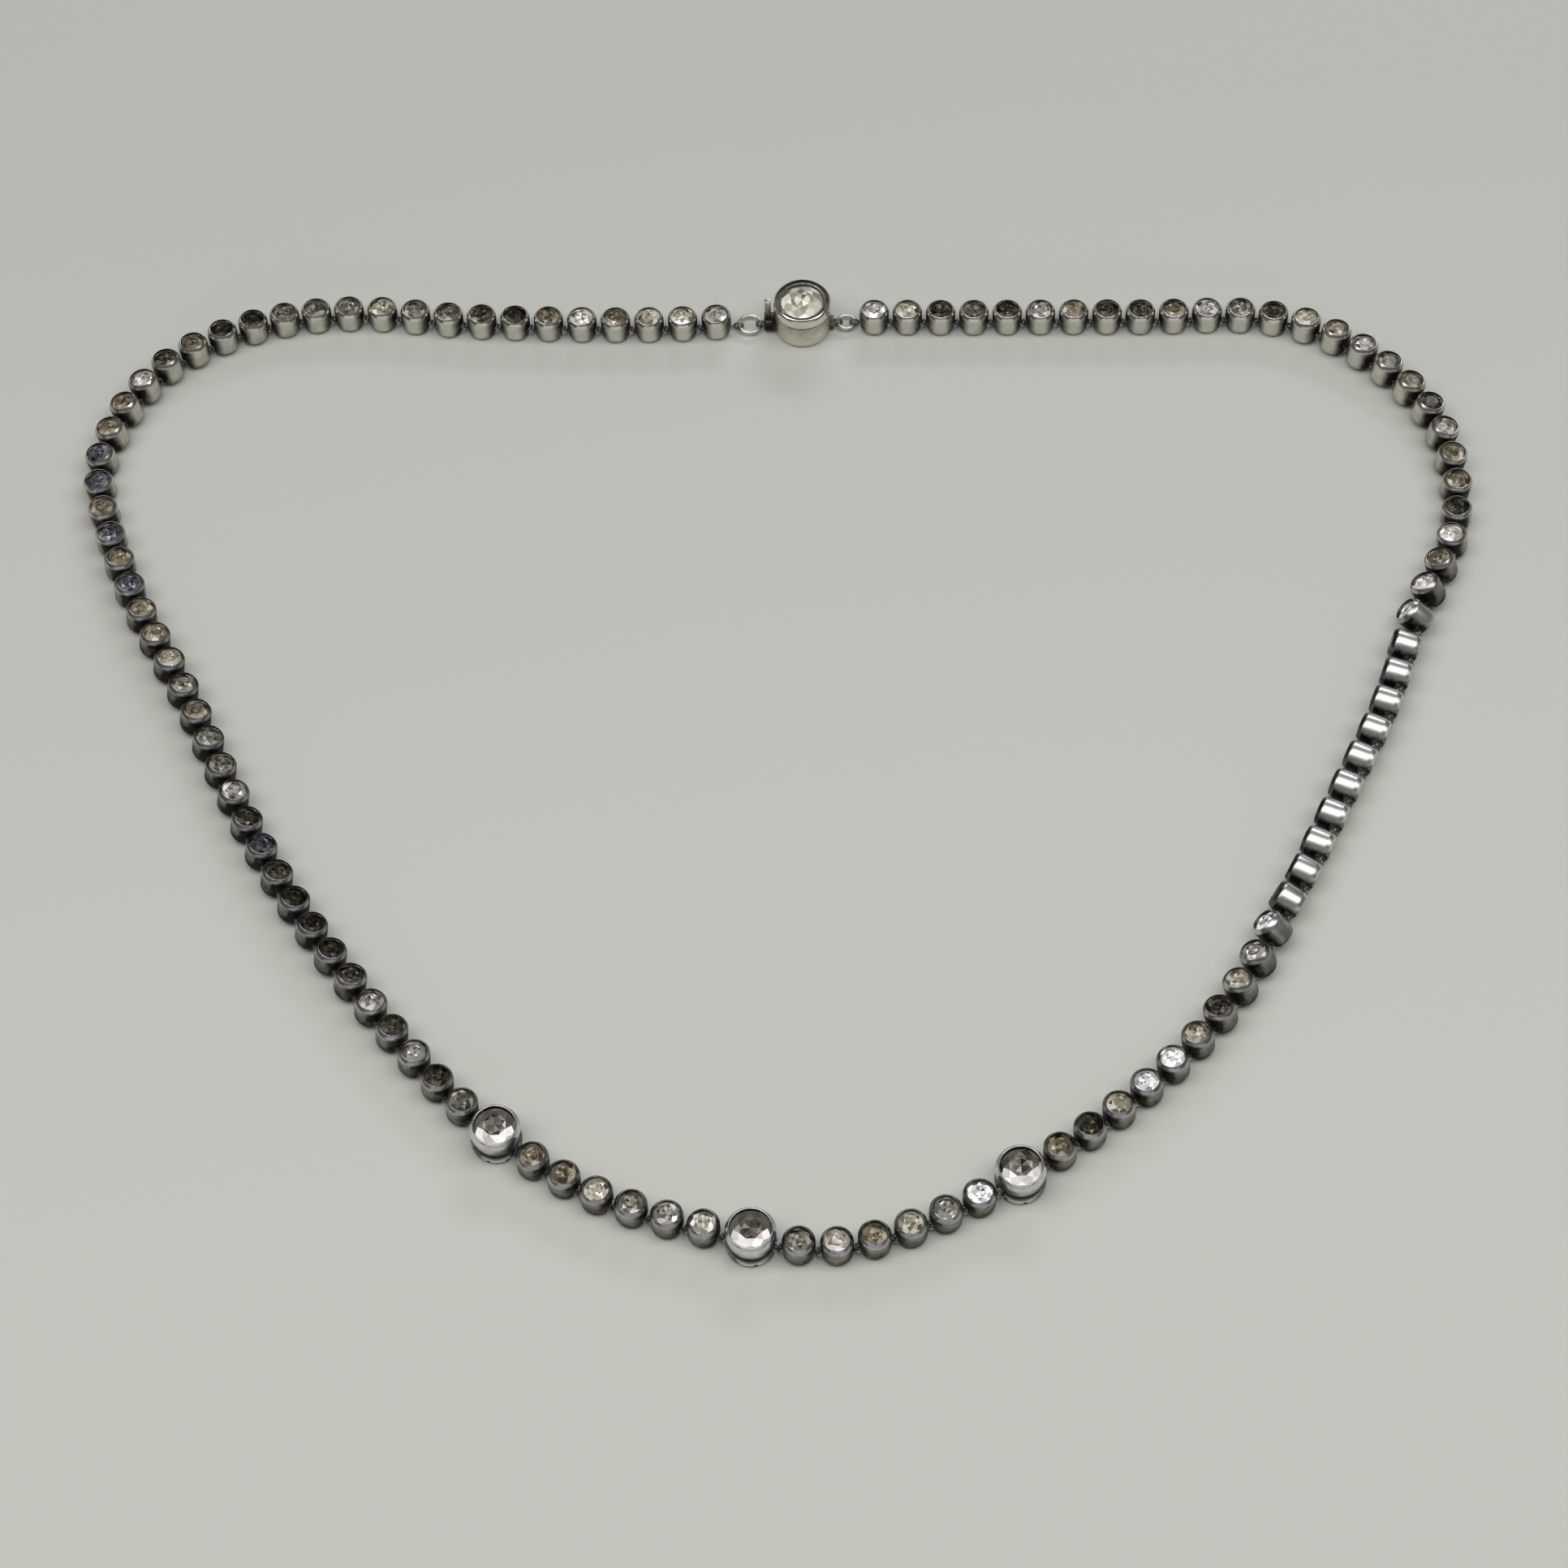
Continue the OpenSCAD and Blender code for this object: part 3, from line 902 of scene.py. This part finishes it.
@dataclass(frozen=True)
class BigCup(Cup):
    """Two-tier setting of a big stone: tapering bezel over a waist and a pierced base ring."""

    d: float = 5.2
    h: float = 3.8
    mouth_d: float = 4.3
    stone: CutStone = CutStone(4.44, 0.62, 1.55, Fire(
        0.05, 0.1, 0.5, 0.05, crescent=2.3, ends=(-0.2, 0.6), dimming=0.45, squared=True))
    foot: float = 0.45
    core: float = 2.28
    steps: int = 64
    base_h: float = 0.95
    waist_r: float = 2.15
    hollow_r: float = 1.85
    hollow_h: float = 0.85
    window_d: float = 0.5
    windows: int = 8

    def mesh(self) -> Mesh:
        """Makes the setting in its own frame.

        Returns:
            The mesh.
        """
        r, h, mouth, seat = self.d / 2, self.h, self.mouth_d / 2, self.stone.d / 2 + SEAT_GAP
        base, waist = self.base_h, self.waist_r
        outline = [(0, self.hollow_h), (self.hollow_r, self.hollow_h), (self.hollow_r, 0),
                   *foot_line(r, self.foot), (r, base), (waist, base), (waist, base + 0.25),
                   (waist + 0.15, base + 0.35), (r, h - 1.1), (r, h - 0.55), (r - 0.34, h),
                   (mouth, h - 0.03), (mouth, h - 0.36), (seat, h - 0.48), (seat, h - 0.7),
                   (0, h - 2.32)]
        outline = eased(outline, {5: 0.12, 6: 0.06, 9: 0.08, 10: 0.3, 11: 0.2, 12: 0.05}, 2)
        cutters = self.pockets()
        for k in range(self.windows):
            turn = Matrix.Rotation(math.tau / self.windows * (k + 0.5), 4, "Z")
            cutters.append(rod(self.window_d, 1.6, 20, turn @ move(r, 0, base / 2) @ LEVEL))
        return turned(outline, self.steps, cutters)

    def wear_and_shade(self, p: Vector, lie: Lie) -> Pair:
        """Tarnish, painted shade and polish of the setting: painted shade on the base and ledge under
        the bezel, toward the sides and at the back of the rim, which leaves the rim's front bright.

        Args:
            p: Point of the setting.
            lie: How the setting lies.

        Returns:
            Tarnish with painted shade, and polish, from 0 to 1.
        """
        if p.xy.length < self.mouth_d / 2 + 0.22 and 0.1 < p.z < self.h - 0.1:
            return 0.8, 0.2
        side, ahead = lie.flank(p, 0.3, 0.9), lie.facing(p)
        # Painted shade under the bezel: the base is dark but for its front, and the ledge is dark.
        if p.z < self.base_h + 0.3:
            ledge = 0.45 if p.z > self.base_h - 0.05 else 0.0
            return max(0.12 + 0.6 * smooth(0.95, 0.75, ahead), ledge), 0.3
        rim = smooth(self.h - 1.2, self.h - 0.5, p.z)
        # Painted shade at the back of the rim.
        edge = 0.6 * smooth(0.5, -0.4, ahead) * rim
        return max(edge, 0.22, 0.85 * side * (1 - 0.6 * rim)), 0.3 + 0.6 * rim


# The row


def table_value(number: float, rows: Sequence[Sequence[float]], column: int) -> float:
    """Reads a table by its first column, with straight lines between its rows.

    Args:
        number: Value to look up.
        rows: Rows in the order of their first column.
        column: Column to read.

    Returns:
        The value, that of the first or last row outside the table.
    """
    i = bisect.bisect_right(rows, number, key=lambda row: row[0])
    if i in (0, len(rows)):
        return rows[max(0, i - 1)][column]
    a, b = rows[i - 1], rows[i]
    return a[column] + (b[column] - a[column]) * (number - a[0]) / (b[0] - a[0])


@dataclass(frozen=True)
class Group:
    """Settings that are one piece, and the names of piece and node of the cups and the stones."""

    numbers: Sequence[int]
    cups: tuple[str, str]
    stones: tuple[str, str]


@dataclass(frozen=True)
class Row:
    """The loop as it lies: place and tilt of each setting, numbered clockwise from the clasp.

    The route is a list of given points. Each row of the lie holds a setting's number, its
    lean in degrees toward the inside, and its play: the extra distance to the next setting.
    """

    small: SmallCup = SmallCup()
    big: BigCup = BigCup()
    pitch: float = 3.8
    side_count: int = 47
    front_count: int = 6
    big_gap: float = 0.55
    right_span: float = 8.2
    left_span: float = 9.9
    link_z: float = 0.62
    steps: int = 24
    middle: Pair = (-0.0990704, -0.111856)
    route: tuple[Pair, ...] = (
        (4, 57), (23, 56), (42.5, 55), (57.5, 54), (67, 48.5), (73.5, 40), (75.5, 31), (74.5, 22),
        (70, 12), (65.5, 0.5), (60, -10), (52.5, -23.5), (43.5, -36.5), (32, -47), (17.5, -56),
        (5, -60.5), (-5.5, -59.5), (-21, -54), (-34, -44), (-46, -29), (-56, -12.5), (-65, 8),
        (-71.5, 22), (-75.5, 36), (-74.5, 44.5), (-69, 53.5), (-59.5, 59), (-48, 60.5),
        (-33, 58.5), (-14, 57))
    lie: tuple[Triple, ...] = (
        (1, 0, 0), (13, 0, 0), (15, -10, -0.22), (20, -12, -0.22), (22, -4, 0), (24, 8, 0),
        (26, 32, 0), (27, 55, 0.05), (28, 82, 0.05), (30, 88, 0.13), (35, 88, 0.13),
        (37, 74, 0.13), (38, 48, 0.05), (39, 26, 0.05), (42, 8, 0.05), (48, 0, 0), (62, 0, 0),
        (68, 12, 0), (80, 12, 0), (84, 4, -0.05), (87, -6, -0.12), (90, -14, -0.12),
        (96, 0, -0.12), (98, 0, 0.05), (109, 0, 0.05))

    @cached_property
    def bigs(self) -> tuple[int, int, int]:
        """Numbers of the three big settings."""
        first = self.side_count + 1
        return first, first + self.front_count + 1, first + 2 * (self.front_count + 1)

    @cached_property
    def total(self) -> int:
        """Number of the last setting."""
        return self.bigs[2] + self.side_count

    @cached_property
    def groups(self) -> list[Group]:
        """The two sides, then the front settings and the big ones, each alone."""
        first, middle, last = self.bigs
        sides = (("right", range(1, first)), ("left", range(last + 1, self.total + 1)))
        fronts = (*range(first + 1, middle), *range(middle + 1, last))
        alone = [(n, "front", k) for k, n in enumerate(fronts, 1)]
        alone += [(n, "big", side) for n, side in zip(self.bigs, ("right", "middle", "left"))]
        return [Group(numbers, (f"{side}_cups", f"{side}_settings"),
                      (f"{side}_side_stones", f"{side}_stones")) for side, numbers in sides] + [
            Group([n], (f"{kind}_cup_{tag}", f"{kind}_setting_{tag}"),
                  (f"{kind}_paste_{tag}", f"{kind}_stone_{tag}")) for n, kind, tag in alone]

    def cup(self, n: int) -> SmallCup | BigCup:
        """Kind of setting n."""
        return self.big if n in self.bigs else self.small

    def half_span(self, n: int) -> float:
        """Half of the row that setting n takes."""
        big_span = self.small.d + self.big.d + 2 * self.big_gap - self.pitch
        return (big_span if n in self.bigs else self.pitch) / 2

    def play(self, n: int) -> float:
        """Extra distance from setting n to the next."""
        return table_value(n, self.lie, 2)

    def lean(self, n: int) -> float:
        """Lean of setting n toward the inside of the loop, in radians."""
        return math.radians(table_value(n, self.lie, 1))

    @cached_property
    def along(self) -> list[float]:
        """Distance of each setting along the row from the clasp's middle."""
        made = [self.right_span]
        for n in range(1, self.total):
            made.append(made[-1] + self.half_span(n) + self.half_span(n + 1) + self.play(n))
        return made

    @cached_property
    def length(self) -> float:
        """Length of the fastened loop."""
        return self.along[-1] + self.left_span

    @cached_property
    def track(self) -> list[Triple]:
        """The loop as (distance, x, y), a smooth curve sized to the length of the row."""
        count = len(self.route)
        points = []
        for i in range(count):
            a, b, c, d = (Vector(self.route[(i + k) % count]) for k in (-1, 0, 1, 2))
            for k in range(self.steps):
                t = k / self.steps
                points.append(0.5 * (2 * b + (c - a) * t + (2 * a - 5 * b + 4 * c - d) * t * t
                                     + (3 * b - a - 3 * c + d) * t ** 3))
        points.append(Vector(self.route[0]))
        run = [0.0]
        for a, b in zip(points, points[1:]):
            run.append(run[-1] + (b - a).length)
        scale, (x, y) = self.length / run[-1], self.middle
        return [(s * scale, p.x * scale - x, p.y * scale - y) for s, p in zip(run, points)]

    def spot(self, s: float) -> Vector:
        """Point of the loop at a distance from the clasp's middle."""
        s %= self.length
        return Vector((table_value(s, self.track, 1), table_value(s, self.track, 2)))

    def course(self, s: float, height: float) -> Matrix:
        """Place at a distance from the clasp's middle, with its x axis along the row."""
        d = self.spot(s + self.pitch / 4) - self.spot(s - self.pitch / 4)
        return move(*self.spot(s), height) @ Matrix.Rotation(math.atan2(d.y, d.x), 4, "Z")

    def link_height(self, n: int, upright: float) -> float:
        """Height of setting n's links when its lower edge touches the surface.

        Args:
            n: Number of the setting.
            upright: Cosine of its whole tilt.

        Returns:
            The height.
        """
        cup, sideways = self.cup(n), math.sqrt(max(0.0, 1 - upright * upright))
        level = max(x * sideways + (cup.h / 2 - z) * upright
                    for x, z in foot_line(cup.d / 2, cup.foot))
        return level - (cup.h / 2 - self.link_z) * upright

    def slope(self, n: int) -> float:
        """Rise of the row at a setting.

        Args:
            n: Number of the setting.

        Returns:
            The rise in radians.
        """
        if n in (1, self.total):
            return 0.0
        before, after = (self.link_height(k, math.cos(self.lean(k))) for k in (n - 1, n + 1))
        return math.atan((after - before) / (self.along[n] - self.along[n - 2]))

    def place(self, n: int) -> Matrix:
        """Place of a setting, whose base is at z = 0 and whose x axis runs along the row.

        Args:
            n: Number of the setting.

        Returns:
            The place.
        """
        lean, slope = self.lean(n), self.slope(n)
        height = self.link_height(n, math.cos(lean) * math.cos(slope))
        return (self.course(self.along[n - 1], height) @ Matrix.Rotation(-slope, 4, "Y")
                @ Matrix.Rotation(lean, 4, "X") @ move(0, 0, -self.link_z))


@dataclass(frozen=True)
class Eyes:
    """Soldered wire rings that link the settings to each other and to the jump rings.

    The hook is how far two linked eyes reach past each other with no play, and dip is how deep
    a stem stands in its wall and in its ring.
    """

    row: Row
    wire: float = 0.22
    radius: float = 0.45
    hook: float = 0.42
    end_wire: float = 0.28
    end_radius: float = 0.47
    dip: float = 0.1
    tone: float = 0.2

    @cached_property
    def eye(self) -> Mesh:
        """Mesh of a small eye, level round its own middle."""
        return kept(wire_ring(self.radius, self.wire), "eye")

    def wear_and_shade(self, point: Vector) -> Pair:
        """Links are dark with tarnish and painted shade between the settings, with some polish on the
        wire.
        """
        return 0.72, 0.6

    def end(self, piece: Piece, place: Matrix, start: float, reach: float) -> None:
        """Adds a larger upright eye on a stem, for a jump ring.

        Args:
            piece: The piece that it goes to.
            place: Place of what it is soldered to.
            start: Distance along x where the stem starts.
            reach: Distance of the middle of its wire at the far end.
        """
        r, z = self.end_radius, self.row.link_z
        length = reach - 2 * r + self.dip - start
        stem = rod(1.2 * self.end_wire, length, 12, move(start + length / 2, 0, z) @ LEVEL)
        ring = kept(wire_ring(r, self.end_wire, 10, 24), "end_eye")
        piece.metal(ring, place @ move(reach - r, 0, z) @ UPRIGHT, self.wear_and_shade, self.tone)
        piece.metal(kept(stem, "stem"), place, self.wear_and_shade, self.tone)

    def add(self, piece: Piece, n: int, ends: Pair) -> None:
        """Adds both eyes of a setting: the one ahead lies flat, the one behind stands.

        Args:
            piece: The piece that they go to.
            n: Number of the setting.
            ends: Reaches of the first and the last setting's eyes for the jump rings.
        """
        row, ahead = self.row, self.row.place(n)
        for place, turn, gap, last, end in ((ahead, Matrix(), n, row.total, ends[1]),
                                            (ahead @ BEHIND, UPRIGHT, n - 1, 1, ends[0])):
            if n == last:
                self.end(piece, place, row.cup(n).core - self.dip, end)
                continue
            reach = row.half_span(n) + (row.play(gap) + self.hook) / 2
            middle = move(reach - self.radius, 0, row.link_z)
            piece.metal(self.eye, place @ middle @ turn, self.wear_and_shade, self.tone)


@dataclass(frozen=True)
class Settings:
    """All settings of the row with their eyes, warmer toward the back at the rims."""

    row: Row
    silver: Material
    ends: Pair = (2.75, 3.0)
    tone: float = 0.4
    rim_tone: float = 0.9
    seed: int = 7

    def build(self) -> None:
        """Makes the two sides, the front settings and the big settings."""
        row, rng = self.row, random.Random(self.seed)
        eyes = Eyes(row)
        meshes = {cup: cup.mesh() for cup in (row.small, row.big)}
        for group in row.groups:
            piece = Piece(*group.cups, Slot.SILVER, self.silver)
            for n in group.numbers:
                cup, place = row.cup(n), row.place(n)
                lie = Lie.of(place)
                tone = 0.0 if cup is row.big else rng.uniform(0.0, self.tone) * (1 - lie.over)
                rim_tone = self.rim_tone * smooth(15, 50, place.translation.y) * (1 - lie.over)
                piece.metal(meshes[cup], place, partial(cup.wear_and_shade, lie=lie), tone, rim_tone)
                eyes.add(piece, n, self.ends)
            piece.object()


@dataclass(frozen=True)
class Stones:
    """All stones of the row; the chart has a letter for each, clockwise from the clasp."""

    row: Row
    paste: Material
    clear: Material
    chart: str = ("cbdgdcmddmcgdbmcgmdcmmdemeecdbdcmdgbdwcbdbwwbdm" "o" "wcbmeg" "o" "ecgbmm" "o"
                  "gkcdcdkkkdldcggmgbmmlmlmllmmcdmkdgggbggddmembbc")
    seed: int = 23

    def build(self) -> None:
        """Makes the two sides' stones, the front stones and the big stones."""
        row, rng = self.row, random.Random(self.seed)
        meshes = {cup: cup.stone.mesh() for cup in (row.small, row.big)}
        for group in row.groups:
            clear = group.numbers[0] in row.bigs
            slot, finish = (Slot.CLEAR, self.clear) if clear else (Slot.PASTE, self.paste)
            piece = Piece(*group.stones, slot, finish)
            for n in group.numbers:
                cup, tint = row.cup(n), Tint.of(self.chart[n - 1])
                cup.stone.dress(piece, meshes[cup], row.place(n) @ cup.stone.seat(cup.h), tint, rng)
            piece.object(1.0)


@dataclass(frozen=True)
class Clasp:
    """Round box clasp with its stone, the tongue with its thumb tab, and the jump rings.

    Each jump ring has its middle's distance along the row from the clasp's, and its radius.
    """

    row: Row
    silver: Material
    clear: Material
    d: float = 6.6
    h: float = 4.8
    drum_h: float = 3.3
    stone: CutStone = CutStone(4.9, 0.55, 1.6, Fire(
        0.05, 0.1, fan=0.05, whitening=0.2, glints=(180.0, -20.0, -125.0, -62.0, 56.0)))
    lug_w: float = 1.5
    slot_end: float = 1.2
    right_reach: float = 4.45
    left_reach: float = 5.3
    ring_wire: float = 0.4
    right_ring: Pair = (4.95, 0.95)
    left_ring: Pair = (-6.1, 1.25)
    tone: float = 0.55
    catch_tone: float = 0.4
    ring_tone: float = 0.8
    steps: int = 96
    seed: int = 5

    @property
    def drum_r(self) -> float:
        """Radius of the drum under the bezel."""
        return self.d / 2 - 0.1

    def body(self) -> Mesh:
        """Makes the drum with its bezel, recess, collar and slot.

        Returns:
            The mesh.
        """
        bezel, drum, h, seam = self.d / 2, self.drum_r, self.h, self.drum_h
        seat = self.stone.d / 2 + SEAT_GAP
        collar, mouth = seat + 0.1, self.stone.d / 2 - 0.04
        outline = [(0, 0), (drum - 0.3, 0), (drum, 0.3), (drum, seam), (drum - 0.1, seam + 0.05),
                   (drum - 0.1, seam + 0.15), (bezel, seam + 0.25), (bezel, h - 0.4),
                   (bezel - 0.12, h - 0.16), (bezel - 0.33, h), (bezel - 0.36, h - 0.65),
                   (collar, h - 0.65), (collar, h - 0.24), (mouth, h - 0.24), (mouth, h - 0.36),
                   (seat, h - 0.44), (seat, h - 0.65), (0, h - 2.3)]
        outline = eased(outline, {1: 0.1, 2: 0.12, 3: 0.03, 6: 0.05, 7: 0.12, 8: 0.1, 9: 0.03,
                                  12: 0.04, 13: 0.04}, 2)
        slot = block((-drum - 1, -1.1, 0.6), (self.slot_end, 1.1, 1.6))
        return turned(outline, self.steps, [slot])

    def wear_and_shade(self, p: Vector) -> Pair:
        """Bright bezel, dark recess and seam, satin drum that is darker toward its sides along the
        row, and painted shade at the back of the rim.

        Args:
            p: Point of the drum.

        Returns:
            Tarnish with painted shade, and polish, from 0 to 1.
        """
        r = p.xy.length
        if r < self.d / 2 - 0.3 and 1.9 < p.z < self.h - 0.3:
            return 0.62, 0.1
        seam = smooth(0.2, 0.05, abs(p.z - self.drum_h - 0.1))
        side = 0.5 * smooth(0.7, 1.0, abs(p.x) / max(r, 0.01)) if p.z < self.drum_h else 0.0
        rim = smooth(self.h - 0.5, self.h - 0.25, p.z)
        # Painted shade at the back of the rim.
        edge = 0.3 * smooth(0.3, -0.3, -p.y / max(r, 0.01)) * rim
        return max(0.9 * seam, side, edge), max(rim, 0.75 if p.z > self.drum_h + 0.2 else 0.1)

    def catch_shade_and_polish(self, p: Vector) -> Pair:
        """Tongue painted dark for its shade, lighter toward the top of the thumb tab."""
        return 0.9 - 0.5 * smooth(self.h - 1.0, self.h - 0.5, p.z), 0.4

    def build(self) -> None:
        """Makes the clasp box, its stone, the tongue and both jump rings."""
        row, place, eyes = self.row, self.row.course(0, 0), Eyes(self.row)
        drum, w = self.drum_r, self.lug_w / 2
        lug_x, tongue_x = drum + 0.4, drum + 1.2

        box = Piece("clasp_case", "clasp_box", Slot.SILVER, self.silver)
        box.metal(self.body(), place, self.wear_and_shade, self.tone)
        lug = block((drum - 0.4, -w, 0.2), (lug_x, w, 1.1), 0.12)
        box.metal(kept(lug, "lug"), place, lambda p: (0.8, 0.3), self.catch_tone)
        eyes.end(box, place, lug_x - 0.2, self.right_reach)
        box.object()

        tongue = Piece("clasp_catch", "clasp_tongue", Slot.SILVER, self.silver)
        behind = place @ BEHIND
        blade = block((-self.slot_end + 0.1, -1.0, 0.7), (tongue_x, 1.0, 1.5), 0.06)
        shoulder = block((drum + 0.1, -w, 0.15), (tongue_x, w, 1.75), 0.14)
        tab = block((tongue_x - 0.8, -0.3, 1.65), (tongue_x - 0.1, 0.3, self.h), 0.15)
        for bm in (blade, shoulder, tab):
            tongue.metal(kept(bm, "tongue"), behind, self.catch_shade_and_polish, self.catch_tone)
        eyes.end(tongue, behind, tongue_x - 0.2, self.left_reach)
        tongue.object()

        for side, (x, r) in (("right", self.right_ring), ("left", self.left_ring)):
            ring = Piece(f"ring_{side}", f"jump_ring_{side}", Slot.SILVER, self.silver)
            wire = kept(wire_ring(r, self.ring_wire, 14, 40), "ring")
            ring.metal(wire, place @ move(x, 0, row.link_z), lambda p: (0.2, 0.35), self.ring_tone)
            ring.object()

        stone = Piece("clasp_paste", "clasp_stone", Slot.CLEAR, self.clear)
        self.stone.dress(stone, self.stone.mesh(), place @ self.stone.seat(self.h), Tint.WARM,
                         random.Random(self.seed))
        stone.object(1.0)


# Camera and light


@dataclass(frozen=True)
class Panel:
    """A soft panel of light that faces the middle of the loop.

    Its power is in watts, and its width, height and middle are in metres.
    """

    name: str
    power: float
    size: Pair
    place: Triple
    colour: Triple

    def build(self) -> None:
        """Makes the panel."""
        data = bpy.data.lights.new(self.name, "AREA")
        data.shape, data.size, data.size_y = "RECTANGLE", *self.size
        data.energy, data.color = self.power, self.colour
        obj = linked(self.name, data)
        aim = (-Vector(self.place)).to_track_quat("-Z", "Y").to_matrix().to_4x4()
        obj.matrix_world = move(*self.place) @ aim


@dataclass(frozen=True)
class Studio:
    """Camera at the photograph's angle and soft light from above."""

    target: Triple = (-0.383, -6.907, 2.8)
    distance: float = 424.4
    elevation: float = 57.7
    roll: float = -2.505
    lens: float = 92.05
    world: Colour = (0.50, 0.50, 0.52, 1)
    world_strength: float = 0.22
    panels: tuple[Panel, ...] = (
        Panel("key", 5.9, (1.6, 0.5), (0.0, -0.06, 0.75), (1.0, 1.0, 1.0)),
        Panel("front", 1.5, (1.8, 0.5), (0.0, -1.1, 0.3), (0.88, 0.87, 1.0)),
        Panel("back", 1.6, (0.5, 0.12), (0.2, 0.75, 0.45), (0.84, 0.87, 1.0)))

    def camera(self) -> None:
        """Makes the scene's camera."""
        turn = (Matrix.Rotation(math.radians(90 - self.elevation), 4, "X")
                @ Matrix.Rotation(math.radians(self.roll), 4, "Z"))
        data = bpy.data.cameras.new("camera")
        data.lens, data.sensor_width, data.sensor_fit = self.lens, 36.0, "HORIZONTAL"
        data.clip_start, data.clip_end = 0.01, 20.0
        obj = linked("camera", data)
        target = Matrix.Translation(Vector(self.target) * MM)
        obj.matrix_world = target @ turn @ move(0, 0, self.distance * MM)
        bpy.context.scene.camera = obj

    def light(self) -> None:
        """Makes the lights and the surroundings."""
        scene = bpy.context.scene
        scene.world = bpy.data.worlds.new("room")
        scene.world.use_nodes = True
        room = scene.world.node_tree.nodes["Background"]
        room.inputs["Color"].default_value = self.world
        room.inputs["Strength"].default_value = self.world_strength
        for panel in self.panels:
            panel.build()
        scene.view_settings.view_transform = "Standard"


def main() -> None:
    """Builds the necklace, its surface, the camera and the light."""
    logging.basicConfig(level=logging.INFO, format="%(name)s: %(message)s")
    silver = OldSilver().material()
    paste = Paste("foiled_paste").material()
    clear = Paste("clear_foiled_paste", 0.24).material()
    row = Row()
    LOG.info("row of %d settings, %.1f mm round", row.total, row.length)
    Settings(row, silver).build()
    Stones(row, paste, clear).build()
    Clasp(row, silver, clear).build()
    Surface().build()
    studio = Studio()
    studio.camera()
    studio.light()


if __name__ == "__main__":
    main()
